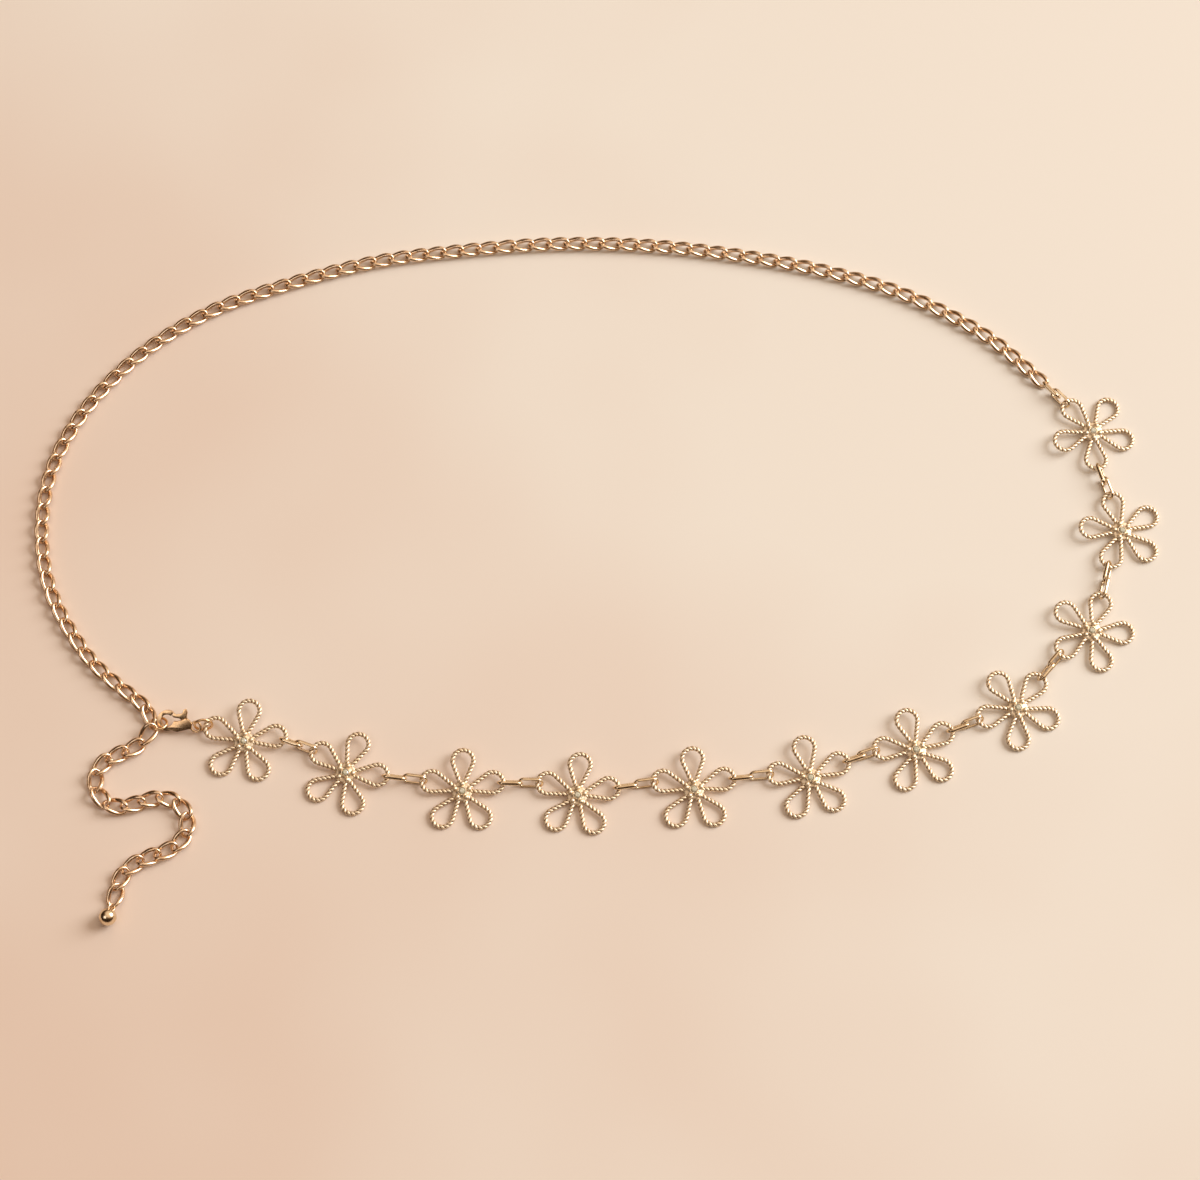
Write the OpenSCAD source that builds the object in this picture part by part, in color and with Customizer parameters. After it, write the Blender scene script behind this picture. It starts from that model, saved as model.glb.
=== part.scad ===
// Flower waist chain, lying open on a table, clasp closed.
// Units are millimetres.  +Z is up, Z = 0 is the table, X runs along the waist's
// width and the flower row lies along -Y.  The origin is the middle of the outline.

/* [Flowers] */
// outer width of a petal
petal_w = 7.5; // [7.3:0.1:7.7]
// distance from the flower's middle to the outside of a petal's tip
flower_reach = 12.95; // [12.75:0.1:13.15]
// width of the beaded rim, seen from above
rim_w = 1.2; // [1.1:0.05:1.25]
// height of the beaded rim
rim_h = 1.1; // [1:0.05:1.15]
// radius of the plate under the granules
rosette_r = 3.05; // [3:0.05:3.15]
// radius of one of the five granules
granule_r = 0.8; // [0.75:0.05:0.8]
// distance of the granules from the middle
granule_at = 2.15; // [2.1:0.05:2.15]
// diameter of the stone
stone_d = 1.8; // [1.6:0.1:1.9]

/* [Oval connectors] */
// wire thickness of an oval connector
oval_wire = 0.7; // [0.65:0.05:0.75]
// inner width of an oval connector
oval_w = 2.15; // [2.1:0.05:2.2]
// inner length of an oval connector
oval_l = 6.1; // [5.9:0.1:6.3]
// slope of an oval connector against the table, in degrees
oval_slope = 60; // [56:1:64]

/* [Curb chain] */
// wire thickness of a curb link
curb_wire = 1; // [0.9:0.05:1]
// distance between neighbouring curb links
curb_pitch = 5.4; // [5.2:0.05:5.45]

/* [Extender chain] */
// wire thickness of an extender link
extender_wire = 0.85; // [0.8:0.05:0.9]
// distance between neighbouring extender links
extender_pitch = 5.1; // [5:0.05:5.15]
// diameter of the ball at the end
ball_d = 5; // [4.6:0.1:5.4]

/* [Rings and clasp] */
// outer diameter of the jump ring and of the joint ring
ring_d = 5.8; // [5.75:0.05:5.85]
// wire thickness of both rings
ring_wire = 0.8; // [0.7:0.05:0.8]
// thickness of the clasp
clasp_t = 1.5; // [1.4:0.05:1.5]
// width of the clasp's hook bar
hook_bar = 1.2; // [1.1:0.05:1.2]

/* [Hidden] */
$fn = 48;

// colours
gold = "#D9B984";
rose_gold = "#CF9C74";
clear_stone = "#DCD8D4";

petals = 5;
petal_step = 360 / petals;
// a petal is a ring of this radius at its tip, with straight sides to its root
tip_r = petal_w / 2;
tip_hole_r = tip_r - rim_w;
tip_at = flower_reach - tip_r;
// the petal's sides would meet this far behind the flower's middle
root_back = 1;
root_half = asin(tip_r / (tip_at + root_back));

// direction of each flower's inner petal, from the clasp-free end to the clasp
inner_dir = [201, 175, 142, 125, 105, 100, 92, 85, 89, 68, 82];
// direction of the two connectors after each flower
strand_dir = [287, 255, 230, 201, 199, 186, 188, 179, 173, 159];
// how much each pair of connectors lies short of its taut length
strand_slack = [1.2, 0.8, 1.1, 1.5, 1.7, 0, 0, 0, 0, 1.4];
// the pair of connectors between the curb chain and the first flower
lead_dir = 312;
lead_slack = 2.2;
// the sixth flower stands here
row_anchor = [61.4, -65.2];
anchor_flower = 5;

// room between a connector's end and the petal's rim, and between two connectors
rim_play = 0.65;
oval_play = 0.2;
strand_taut = 2 * (tip_hole_r - rim_play + oval_l) - oval_play;
// an oval connector's middle height when it rests on its edge
oval_z = (oval_w + oval_wire) / 2 * sin(oval_slope) + oval_wire / 2;

function toward(a) = [cos(a), sin(a)];
function flat(p, z) = [p[0], p[1], z];

row_steps = [for (i = [0:9])
    tip_at * (toward(inner_dir[i] + petal_step) - toward(inner_dir[i + 1] - petal_step))
    + (strand_taut - strand_slack[i]) * toward(strand_dir[i])];
function row_sum(i) = i <= 0 ? [0, 0] : row_sum(i - 1) + row_steps[i - 1];
function flower_pos(i) = row_anchor + row_sum(i) - row_sum(anchor_flower);

// tip circle centres of the petals that the strand enters by and leaves by
function entry_tip(i) = flower_pos(i) + tip_at * toward(inner_dir[i] - petal_step);
function exit_tip(i) = flower_pos(i) + tip_at * toward(inner_dir[i] + petal_step);

// a flower leans on the links in its two connecting petals and on its two outer petals
last_flower = 10;
last_lift = 0.5;
function rim_bottom(i) = i == last_flower ? ring_wire + last_lift : oval_z - rim_h / 2;
rest_back = tip_at * cos(petal_step / 2) + tip_r;
lift_front = (tip_at + tip_hole_r) * cos(petal_step);
function lean(i) = asin(rim_bottom(i) / (rest_back + lift_front));
function flower_z(i) = rest_back * sin(lean(i));

// seat of the stone
stone_fit = 0.12;
seat_wall = 0.25;
seat_h = 1.45;
seat_floor = 0.55;
plate_h = 1;
granule_z = 0.9;

// a petal's sides run from inside the plate into the ends of the tip's arc, and are
// this much narrower than the arc on each face
side_from = 1.6;
side_into = 0.3;
side_inset = 0.03;
side_normal = 90 + root_half;
// where a side that keeps this distance from the tip's middle meets the petal's axis
function side_root(r) = tip_at - r / sin(root_half);

module petal_rim() {
    outer_r = tip_r - side_inset;
    inner_r = tip_hole_r + side_inset;
    end = [tip_at, 0] + side_into * toward(root_half);
    outer = end + outer_r * toward(side_normal);
    inner = end + inner_r * toward(side_normal);
    start = [side_from, (side_from - side_root(outer_r)) * tan(root_half)];
    translate([tip_at, 0, 0]) rotate(-side_normal) rotate_extrude(angle = 2 * side_normal)
        translate([tip_hole_r, 0]) square([rim_w, rim_h]);
    linear_extrude(rim_h) polygon([
        [start[0], -start[1]], [outer[0], -outer[1]], [inner[0], -inner[1]],
        [side_root(inner_r), 0], inner, outer, start]);
}

module flower_shape() {
    difference() {
        union() {
            for (k = [0:petals - 1]) rotate(k * petal_step) petal_rim();
            cylinder(r = rosette_r, h = plate_h);
            cylinder(r = stone_d / 2 + stone_fit + seat_wall, h = seat_h);
            for (k = [0:petals - 1]) rotate(k * petal_step)
                translate([granule_at, 0, granule_z]) sphere(granule_r);
        }
        translate([0, 0, seat_floor]) cylinder(r = stone_d / 2 + stone_fit, h = seat_h);
    }
}

module at_flower(i) {
    translate(flat(flower_pos(i), flower_z(i))) rotate([0, 0, inner_dir[i]])
        rotate([0, -lean(i), 0]) children();
}

module flower(i) {
    color(gold) at_flower(i) flower_shape();
}

// an eight-sided brilliant: table, crown, girdle, pavilion
stone_sides = 8;
table_share = 0.58;
crown_share = 0.16;
girdle_share = 0.05;
pavilion_share = 0.4;
culet_share = 0.06;

module stone_shape() {
    r = stone_d / 2;
    rotate_extrude($fn = stone_sides) polygon([
        [0, 0], [r * culet_share, 0], [r, stone_d * pavilion_share],
        [r, stone_d * (pavilion_share + girdle_share)],
        [r * table_share, stone_d * (pavilion_share + girdle_share + crown_share)],
        [0, stone_d * (pavilion_share + girdle_share + crown_share)]]);
}

module stone(i) {
    color(clear_stone) at_flower(i) translate([0, 0, seat_floor + stone_fit]) stone_shape();
}

module oval(w, l, wire) {
    bend = (w + wire) / 2;
    straight = l - w;
    for (s = [0, 180]) rotate(s) {
        translate([straight / 2, 0, 0]) rotate(-90) rotate_extrude(angle = 180)
            translate([bend, 0]) circle(wire / 2);
        translate([-straight / 2, bend, 0]) rotate([0, 90, 0])
            cylinder(r = wire / 2, h = straight);
    }
}

// where a connector's middle lies from the tip circle centre that it hangs in
oval_from_tip = tip_hole_r - rim_play + oval_l / 2;

// the two connectors of a strand: the first hangs at the start, the second at the end
module connector_at(tip, dir, slope) {
    color(rose_gold) translate(flat(tip + oval_from_tip * toward(dir), oval_z))
        rotate([slope, 0, dir]) oval(oval_w, oval_l, oval_wire);
}

lead_start = entry_tip(0) - (strand_taut - lead_slack) * toward(lead_dir);

module connector(k) {
    i = floor((k - 1) / 2);
    first = k % 2 == 1;
    dir = i == 0 ? lead_dir : strand_dir[i - 1];
    start = i == 0 ? lead_start : exit_tip(i - 1);
    if (first) connector_at(start, dir, 180 - oval_slope);
    else connector_at(entry_tip(i), dir + 180, 180 - oval_slope);
}

ring_r = (ring_d - ring_wire) / 2;

module ring_shape() {
    rotate_extrude() translate([ring_r, 0]) circle(ring_wire / 2);
}

// the jump ring stands in the last flower's exit petal
ring_dir = 170;
ring_past_rim = 0.38;
ring_turn = [75.6, 12.5, 1.4];
ring_z = 2.84;
jump_at = exit_tip(last_flower) + (tip_r - rim_w / 2 + ring_past_rim) * toward(ring_dir);

// the clasp's eye hangs on the other side of the jump ring
clasp_dir = 168;
clasp_roll = 30;
eye_reach = 0.915 * ring_r;
eye_dir = 189;
eye_at = jump_at + eye_reach * toward(eye_dir);
eye_hole_r = 1.15;
eye_bar = 0.6;
eye_t = 0.7;

// hook ring, measured from the eye along the clasp (u) and toward the lever (v)
hook_u = 8.4;
hook_v = 0.2;
hook_r = 3;
hook_hole_r = hook_r - hook_bar;
clasp_z = hook_r * sin(clasp_roll) + clasp_t / 2 * cos(clasp_roll);

// the hook's tip ends here, as an angle about the hook's middle
hook_tip = 118;
pivot = [3.1, 0.7];
pin_r = 0.35;
pin_fit = 0.1;
lever_t = 0.6;
slot_t = 0.8;
boss_r = 0.95;
slot_fit = 0.15;
gate_w = 1.1;
tip_gap = 0.15;

module at_clasp() {
    translate(flat(eye_at, clasp_z)) rotate([-clasp_roll, 0, clasp_dir]) mirror([0, 1, 0])
        children();
}

module hook_profile() {
    difference() {
        translate([hook_u, hook_v]) circle(hook_r);
        translate([hook_u, hook_v]) circle(hook_hole_r);
        // the mouth between the hook's tip and the neck
        translate([hook_u, hook_v]) polygon([[0, 0],
            2 * hook_r * toward(hook_tip), 3 * hook_r * toward(150), 2 * hook_r * toward(176)]);
    }
}

module neck_profile() {
    difference() {
        polygon([[1.2, -0.75], [2.6, -1.35], [5, -2.45], [hook_u - 1.6, -2.35],
                 [hook_u - 2.4, -0.6], [hook_u - 2.5, 0.35], [4.4, 0.95], [3.4, 1.75],
                 [2.5, 1.6], [1.2, 0.75]]);
        translate([hook_u, hook_v]) circle(hook_hole_r);
    }
}

// the lever: gate arm up to the hook's tip, thumb lug; the boss is added in the solid
gate_r = hook_r - 0.05;
gate_in = gate_r - gate_w;
gate_end = hook_tip + tip_gap / gate_r * 180 / PI + 1;

module lever_profile() {
    polygon([
        pivot + [-0.75, 0.2], pivot + [-0.55, 0.8], pivot + [-0.1, 1.6],
        [3, 3.7], [3.6, 4.6], [4.3, 4.3], [4.5, 3], [5.4, 2.75],
        [hook_u, hook_v] + (gate_r + 0.12) * toward(gate_end + 12),
        [hook_u, hook_v] + gate_r * toward(gate_end),
        [hook_u, hook_v] + gate_in * toward(gate_end),
        [hook_u, hook_v] + (gate_in + 0.25) * toward(gate_end + 24),
        [5, 1.45], [4.2, 0.85], pivot + [0.75, -0.35], pivot + [0, -0.6]]);
}

// room in the slot for the lever and its swing
module slot_profile() {
    translate(pivot) circle(boss_r + slot_fit);
    polygon([pivot + [0.8, -0.8], pivot + [2.5, -1.35], [hook_u - 1.7, -0.6],
             [hook_u - 1.8, 5], [2.4, 5], [2.1, 1.4]]);
}

module clasp_body() {
    color(rose_gold) at_clasp() {
        difference() {
            union() {
                translate([0, 0, -clasp_t / 2]) linear_extrude(clasp_t) {
                    hook_profile();
                    neck_profile();
                }
                translate([0, 0, -eye_t / 2]) cylinder(r = eye_hole_r + eye_bar, h = eye_t);
            }
            translate([0, 0, -clasp_t]) cylinder(r = eye_hole_r, h = 2 * clasp_t);
            translate([0, 0, -slot_t / 2]) linear_extrude(slot_t) slot_profile();
        }
        // rivet
        translate([pivot[0], pivot[1], -clasp_t / 2]) cylinder(r = pin_r, h = clasp_t);
    }
}

module clasp_lever() {
    color(rose_gold) at_clasp() translate([0, 0, -lever_t / 2]) difference() {
        union() {
            linear_extrude(lever_t) lever_profile();
            translate(flat(pivot, 0)) cylinder(r = boss_r, h = lever_t);
        }
        translate(flat(pivot, -lever_t)) cylinder(r = pin_r + pin_fit, h = 3 * lever_t);
    }
}

module jump_ring() {
    color(rose_gold) translate(flat(jump_at, ring_z)) rotate(ring_turn) ring_shape();
}

// the joint ring holds the hook, the curb chain and the extender
joint_ahead = 10.8;
joint_aside = 1.37;
joint_z = 2.17;
joint_turn = [-24.9, -16.7, -23.8];
joint_at = eye_at + joint_ahead * toward(clasp_dir) + joint_aside * toward(clasp_dir + 90);

module joint_ring() {
    color(rose_gold) translate(flat(joint_at, joint_z)) rotate(joint_turn) ring_shape();
}

// a twisted oval link: half length, half width and half twist of the wire's centre line
link_stations = 12;
wire_sides = 5;
curb_half = [curb_pitch / 2 + curb_wire / 2 + 0.15, 1.75, 0.75];
extender_half = [3.5, 2.15, 0.9];

function unit(v) = v / norm(v);
function link_point(h, t) = [h[0] * cos(t), h[1] * sin(t), h[2] * sin(2 * t)];
function link_along(h, t) = unit([-h[0] * sin(t), h[1] * cos(t), 2 * h[2] * cos(2 * t)]);
function link_out(h, t) =
    let (e = [cos(t) / h[0], sin(t) / h[1], 0], a = link_along(h, t)) unit(e - (e * a) * a);

module link(h, wire) {
    points = [for (i = [0:link_stations - 1]) let (
        t = 360 * i / link_stations,
        o = link_out(h, t),
        b = cross(link_along(h, t), o))
        for (j = [0:wire_sides - 1]) let (s = 360 * j / wire_sides)
            link_point(h, t) + wire / 2 * (cos(s) * o + sin(s) * b)];
    n = link_stations * wire_sides;
    polyhedron(points, [for (i = [0:link_stations - 1], j = [0:wire_sides - 1]) let (
        a = i * wire_sides + j, b = i * wire_sides + (j + 1) % wire_sides,
        c = (b + wire_sides) % n, d = (a + wire_sides) % n)
        each [[a, b, c], [a, c, d]]]);
}

// resting heights of flat links
curb_z = curb_half[2] + curb_wire / 2;
extender_z = extender_half[2] + extender_wire / 2;

// the first link of each chain leans in the joint ring: offset from it, then turn
curb_first = [[-2.91, 2.78, -0.86], [5.9, -2.4, -65.3]];
extender_first = [[-3.05, -3.42, 0.07], [-2.5, -14.2, 53.9]];

// route of the curb chain's link middles, from the joint ring round to the flowers
curb_route = [
    [-132.4, -42.5], [-148.8, -27.8], [-161.7, -4.4], [-164.1, 22.4], [-156.7, 45.6],
    [-140.4, 66.8], [-118.6, 82.8], [-93.8, 92.8], [-67.2, 100.4], [-40.6, 104.2],
    [-13.6, 106.4], [14.1, 106], [40.6, 103], [67.4, 97.8], [93.1, 89.6], [117.2, 76],
    [133.1, 61.2]];
curb_start = joint_at + [-5.65, 6.69];
// the first flat link turns a little toward the leaning one
curb_start_dir = 136;
// the last link's end lies in the first connector
curb_play = 0.3;
curb_end_dir = -44;
curb_end = lead_start + (tip_hole_r - rim_play + curb_play + curb_wire / 2) * toward(lead_dir)
    - curb_half[0] * toward(curb_end_dir);

// the route is turned and scaled to run between its true ends
route_from = curb_route[0];
route_to = curb_route[len(curb_route) - 1];
span_old = route_to - route_from;
span_new = curb_end - curb_start;
span_turn = atan2(span_new[1], span_new[0]) - atan2(span_old[1], span_old[0]);
span_scale = norm(span_new) / norm(span_old);
function turned(v, a) = [v[0] * cos(a) - v[1] * sin(a), v[0] * sin(a) + v[1] * cos(a)];
route = [for (p = curb_route) curb_start + span_scale * turned(p - route_from, span_turn)];

// a smooth curve through the route's points
function curve(p, t) = let (
    i = min(floor(t), len(p) - 2), u = t - i,
    a = p[max(i - 1, 0)], b = p[i], c = p[i + 1], d = p[min(i + 2, len(p) - 1)])
    (2 * b + (c - a) * u + (2 * a - 5 * b + 4 * c - d) * u * u
     + (3 * b - a - 3 * c + d) * u * u * u) / 2;
curve_steps = 16;
curve_count = (len(route) - 1) * curve_steps;
// length along the curve against the curve's parameter
curve_table = [for (i = 0, s = 0; i <= curve_count;
    s = s + (i < curve_count ? norm(curve(route, (i + 1) / curve_steps)
                                    - curve(route, i / curve_steps)) : 0),
    i = i + 1) [s, i / curve_steps]];
curve_length = curve_table[curve_count][0];
curb_steps = round(curve_length / curb_pitch);
function curb_pos(k) = curve(route, lookup(curve_length * k / curb_steps, curve_table));

module curb_chain() {
    color(rose_gold) {
        translate(flat(joint_at, joint_z) + curb_first[0]) rotate(curb_first[1])
            link(curb_half, curb_wire);
        for (k = [0:curb_steps]) {
            along = curb_pos(min(k + 1, curb_steps)) - curb_pos(max(k - 1, 0));
            translate(flat(curb_pos(k), curb_z))
                rotate(k == 0 ? curb_start_dir : atan2(along[1], along[0]))
                link(curb_half, curb_wire);
        }
    }
}

// direction of each step from one extender link to the next
extender_dirs = [-155, -145, -108, -70, -32, 6, 17, 1, -34, -72, -109, -143, -159, -152,
                 -129, -104];
extender_start = joint_at + [-6.95, -7.21];
extender_in_dir = -136;
extender_count = len(extender_dirs);
function extender_pos(k) = k <= 0 ? extender_start
    : extender_pos(k - 1) + extender_pitch * toward(extender_dirs[k - 1]);
function extender_dir(k) = let (
    a = k == 0 ? extender_in_dir : extender_dirs[k - 1],
    b = k == extender_count ? extender_dirs[k - 1] : extender_dirs[k]) (a + b) / 2;

module extender_chain() {
    color(rose_gold) {
        translate(flat(joint_at, joint_z) + extender_first[0]) rotate(extender_first[1])
            link(extender_half, extender_wire);
        for (k = [0:extender_count])
            translate(flat(extender_pos(k), extender_z)) rotate(extender_dir(k))
                link(extender_half, extender_wire);
    }
}

// the ball rests on the table, its loop runs through the last link
loop_wire = 0.6;
loop_r = 1;
loop_play = 0.05;
loop_slope = 135;
ball_dir = extender_dir(extender_count);
loop_at = extender_pos(extender_count) + (extender_half[0] + loop_play) * toward(ball_dir);
ball_rise = ball_d / 2 - extender_z;
ball_reach = sqrt(pow(ball_d / 2 + loop_r - loop_wire / 4, 2) - ball_rise * ball_rise);

module end_ball() {
    color(rose_gold) {
        translate(flat(loop_at + ball_reach * toward(ball_dir), ball_d / 2)) sphere(ball_d / 2);
        translate(flat(loop_at, extender_z)) rotate([loop_slope, 0, ball_dir])
            rotate_extrude() translate([loop_r, 0]) circle(loop_wire / 2);
    }
}

flower(0);  // flower_01
flower(1);  // flower_02
flower(2);  // flower_03
flower(3);  // flower_04
flower(4);  // flower_05
flower(5);  // flower_06
flower(6);  // flower_07
flower(7);  // flower_08
flower(8);  // flower_09
flower(9);  // flower_10
flower(10);  // flower_11
stone(0);  // stone_01
stone(1);  // stone_02
stone(2);  // stone_03
stone(3);  // stone_04
stone(4);  // stone_05
stone(5);  // stone_06
stone(6);  // stone_07
stone(7);  // stone_08
stone(8);  // stone_09
stone(9);  // stone_10
stone(10);  // stone_11
connector(1);  // connector_01
connector(2);  // connector_02
connector(3);  // connector_03
connector(4);  // connector_04
connector(5);  // connector_05
connector(6);  // connector_06
connector(7);  // connector_07
connector(8);  // connector_08
connector(9);  // connector_09
connector(10);  // connector_10
connector(11);  // connector_11
connector(12);  // connector_12
connector(13);  // connector_13
connector(14);  // connector_14
connector(15);  // connector_15
connector(16);  // connector_16
connector(17);  // connector_17
connector(18);  // connector_18
connector(19);  // connector_19
connector(20);  // connector_20
connector(21);  // connector_21
connector(22);  // connector_22
curb_chain();
extender_chain();
end_ball();
jump_ring();
joint_ring();
clasp_body();
clasp_lever();
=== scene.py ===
import bmesh
import bpy
import numpy as np
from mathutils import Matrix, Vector


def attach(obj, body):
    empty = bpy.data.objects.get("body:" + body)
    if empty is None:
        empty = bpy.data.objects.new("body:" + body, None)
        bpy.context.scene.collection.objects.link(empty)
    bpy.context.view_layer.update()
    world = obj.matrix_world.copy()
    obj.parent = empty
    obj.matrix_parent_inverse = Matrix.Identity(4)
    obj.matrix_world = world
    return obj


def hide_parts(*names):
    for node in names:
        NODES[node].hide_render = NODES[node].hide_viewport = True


bl_info = {
    "name": "Flower waist chain",
    "version": (1, 0, 0),
    "blender": (4, 5, 0),
    "location": "3D View > Sidebar > Waist chain",
    "description": "Daisy links, twisted curb chain, clasp and extender of a waist chain",
    "category": "Add Mesh",
}

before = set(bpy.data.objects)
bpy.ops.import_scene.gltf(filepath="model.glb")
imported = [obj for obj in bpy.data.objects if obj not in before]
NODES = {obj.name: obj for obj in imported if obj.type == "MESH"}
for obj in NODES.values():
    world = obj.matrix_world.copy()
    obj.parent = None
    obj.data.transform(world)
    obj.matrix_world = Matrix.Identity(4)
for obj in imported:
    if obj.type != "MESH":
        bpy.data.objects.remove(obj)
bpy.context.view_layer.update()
BODY, LEVER = "chain", "lever"
MM = 0.001
# corners closer together than this, in metres, are one corner
WELD = 2e-7

# The part's own sizes and places, in mm and degrees, so that each piece lies on its solid.
# flowers and their petals
FLOWERS, PETALS = 11, 5
PETAL_STEP = 360 / PETALS
PETAL_W, REACH, RIM_W, RIM_H = 7.5, 12.95, 1.2, 1.1
TIP_R = PETAL_W / 2
TIP_HOLE_R = TIP_R - RIM_W
TIP_AT = REACH - TIP_R
ROOT_BACK = 1.0
# the row: direction of each flower's inner petal, then direction and slack of each pair of
# connectors, from the curb chain's end to the clasp's
INNER_DIR = np.array([201, 175, 142, 125, 105, 100, 92, 85, 89, 68, 82])
STRAND_DIR = np.array([287, 255, 230, 201, 199, 186, 188, 179, 173, 159])
STRAND_SLACK = np.array([1.2, 0.8, 1.1, 1.5, 1.7, 0, 0, 0, 0, 1.4])
LEAD_DIR, LEAD_SLACK = 312, 2.2
ROW_ANCHOR, ANCHOR_FLOWER = (61.4, -65.2), 5
LAST_LIFT = 0.5
# oval connectors
OVAL_WIRE, OVAL_W, OVAL_L, OVAL_SLOPE = 0.7, 2.15, 6.1, 60
RIM_PLAY, OVAL_PLAY = 0.65, 0.2
STRAND_TAUT = 2 * (TIP_HOLE_R - RIM_PLAY + OVAL_L) - OVAL_PLAY
OVAL_Z = (OVAL_W + OVAL_WIRE) / 2 * np.sin(np.radians(OVAL_SLOPE)) + OVAL_WIRE / 2
# rings and clasp
RING_R, RING_WIRE, RING_DIR, RING_PAST_RIM = 2.5, 0.8, 170, 0.38
EYE_DIR, EYE_REACH = 189, 0.915 * RING_R
CLASP_DIR, CLASP_ROLL, HOOK_R = 168, 30, 3
CLASP_T, EYE_T, LEVER_T = 1.5, 0.7, 0.6
CLASP_Z = (HOOK_R * np.sin(np.radians(CLASP_ROLL))
           + CLASP_T / 2 * np.cos(np.radians(CLASP_ROLL)))
JOINT_AHEAD, JOINT_ASIDE, JOINT_Z = 10.8, 1.37, 2.17
# both chains: half length, half width and half twist of a link's centre line; place and
# turn of the first link, which leans in the joint ring; place of the next, which lies flat
CURB_HALF, CURB_WIRE, CURB_PITCH = (3.35, 1.75, 0.75), 1.0, 5.4
CURB_FIRST = ((-2.91, 2.78, -0.86), (5.9, -2.4, -65.3))
CURB_START, CURB_START_DIR, CURB_END_DIR, CURB_PLAY = (-5.65, 6.69), 136, -44, 0.3
CURB_ROUTE = np.array([
    (-132.4, -42.5), (-148.8, -27.8), (-161.7, -4.4), (-164.1, 22.4), (-156.7, 45.6),
    (-140.4, 66.8), (-118.6, 82.8), (-93.8, 92.8), (-67.2, 100.4), (-40.6, 104.2),
    (-13.6, 106.4), (14.1, 106), (40.6, 103), (67.4, 97.8), (93.1, 89.6), (117.2, 76),
    (133.1, 61.2)])
CURVE_STEPS = 16
EXTENDER_HALF, EXTENDER_WIRE, EXTENDER_PITCH = (3.5, 2.15, 0.9), 0.85, 5.1
EXTENDER_FIRST = ((-3.05, -3.42, 0.07), (-2.5, -14.2, 53.9))
EXTENDER_START, EXTENDER_IN_DIR = (-6.95, -7.21), -136
EXTENDER_DIRS = np.array([-155, -145, -108, -70, -32, 6, 17, 1, -34, -72, -109, -143,
                          -159, -152, -129, -104])

# Sizes of the looks alone, in mm; those that a user would change are in the settings.
# chain links: how much fuller the wire is toward the middle of a long side
CURB_FULLER, EXTENDER_FULLER = 0.04, 0.08
OVAL_STATIONS, OVAL_SIDES = 56, 14
# petal rims: the groove between the strands, as a share of the radius, and its shape
STRAND_STATIONS, RIM_SIDES = 8, 14
GROOVE_DEPTH, GROOVE_POWER = 0.4, 0.8
# the flower's middle: plate and seat as (radius, height), the granules round them, and how
# deep each of them counts as for the painted shade that darkens the plating in its grooves
PLATE = [(0, 0), (2.7, 0), (2.98, 0.12), (3.05, 0.4), (2.98, 0.7), (2.7, 0.88),
         (2.3, 0.95), (1.27, 0.97)]
SEAT = [(1.27, 1.2), (1.24, 1.4), (1.14, 1.45), (1.06, 1.42), (1.02, 1.3), (1.02, 0.56),
        (0, 0.56)]
PLATE_SIDES = 40
GRANULE_R, GRANULE_AT = 0.8, (2.15, 0, 0.9)
PLATE_SHADE, SEAT_SHADE, GRANULE_SHADE = 0.52, 0.25, 0.46
# the clasp's rounded edges: a layer's distance from the middle plane, and the radius; how
# near to its layer an edge lies, and the angles of a flat and of a sharp edge in degrees
BODY_EDGES = ((CLASP_T / 2, 0.3), (EYE_T / 2, 0.2))
LEVER_EDGES = ((LEVER_T / 2, 0.2),)
LAYER_REACH, FLAT_BELOW, SHARP_ABOVE, BEVEL_STEPS = 0.02, 2, 50, 3

# Finishes. Patterns, by their cells to a millimetre: patches of 2 mm in the plating's tone;
# tumbling grain, finer in truth and drawn at 0.15 mm so that it breaks up reflections;
# clouds of about 1 mm in the stones and of about 140 mm in the table's wash
TONE_NOISE, GRAIN_NOISE, STONE_NOISE = 0.5 / MM, 6.5 / MM, 0.9 / MM
WASH_NOISE = 0.007 / MM
GRAIN_BUMP, GRAIN_DEPTH = 0.02, 0.05 * MM
# over its grain a finish's roughness runs between these shares of its own
ROUGH_LEAST, ROUGH_MOST = 0.75, 1.4
# the painted shade values between which the plating goes from its own tone to the shade
# colour
SHADE_FROM, SHADE_TO = 0.42, 0.9

# The stage, in metres. The table's tint goes from cream to a pinker tint by its wash's
# clouds, with this gain and base, and by this much for each metre along X, Y and Z, a
# painted shade of the light's fall-off, darker toward the near left. The lights are name,
# place, width, power and colour, the surroundings go from dark side to light side.
TABLE_HALF = 3.0
WASH_GAIN, WASH_BASE, PAINTED_FALLOFF_SIDE = 1.1, -0.3, (-2.55, -1.34, 0.0)
LIGHTS = (("key_light", (3.1, 1.2, 2.0), 2.6, 148.0, "#F6FAFF"),
          ("fill_light", (-0.9, -0.6, 1.4), 1.0, 4.0, "#FFF2EA"))
SKY_SIDE, SKY_STRENGTH = (0.42, 0.42, 0.8), 1.03
SKY = ((0.3, "#2C1D10"), (0.58, "#725438"), (0.78, "#F6DEC6"), (1.0, "#FFEAD4"))
# rise above the table in degrees, distance, and focal length in picture widths
VIEW_RISE, VIEW_DISTANCE, VIEW_FOCAL = 68.8, 0.9702, 3300 / 1200
VIEW_AIM, VIEW_NEAR, SENSOR = (0.0010, -0.0068, 0.0), 0.01, 36


def toward(degrees):
    """Unit vector in the table's plane at this angle from +X."""
    a = np.radians(degrees)
    return np.stack([np.cos(a), np.sin(a)], -1)


def rotation(x=0.0, y=0.0, z=0.0):
    """Turn about X, then Y, then Z, in degrees, as one 3 by 3 matrix."""
    cx, cy, cz = np.cos(np.radians([x, y, z]))
    sx, sy, sz = np.sin(np.radians([x, y, z]))
    about_x = np.array([[1, 0, 0], [0, cx, -sx], [0, sx, cx]])
    about_y = np.array([[cy, 0, sy], [0, 1, 0], [-sy, 0, cy]])
    about_z = np.array([[cz, -sz, 0], [sz, cz, 0], [0, 0, 1]])
    return about_z @ about_y @ about_x


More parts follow.
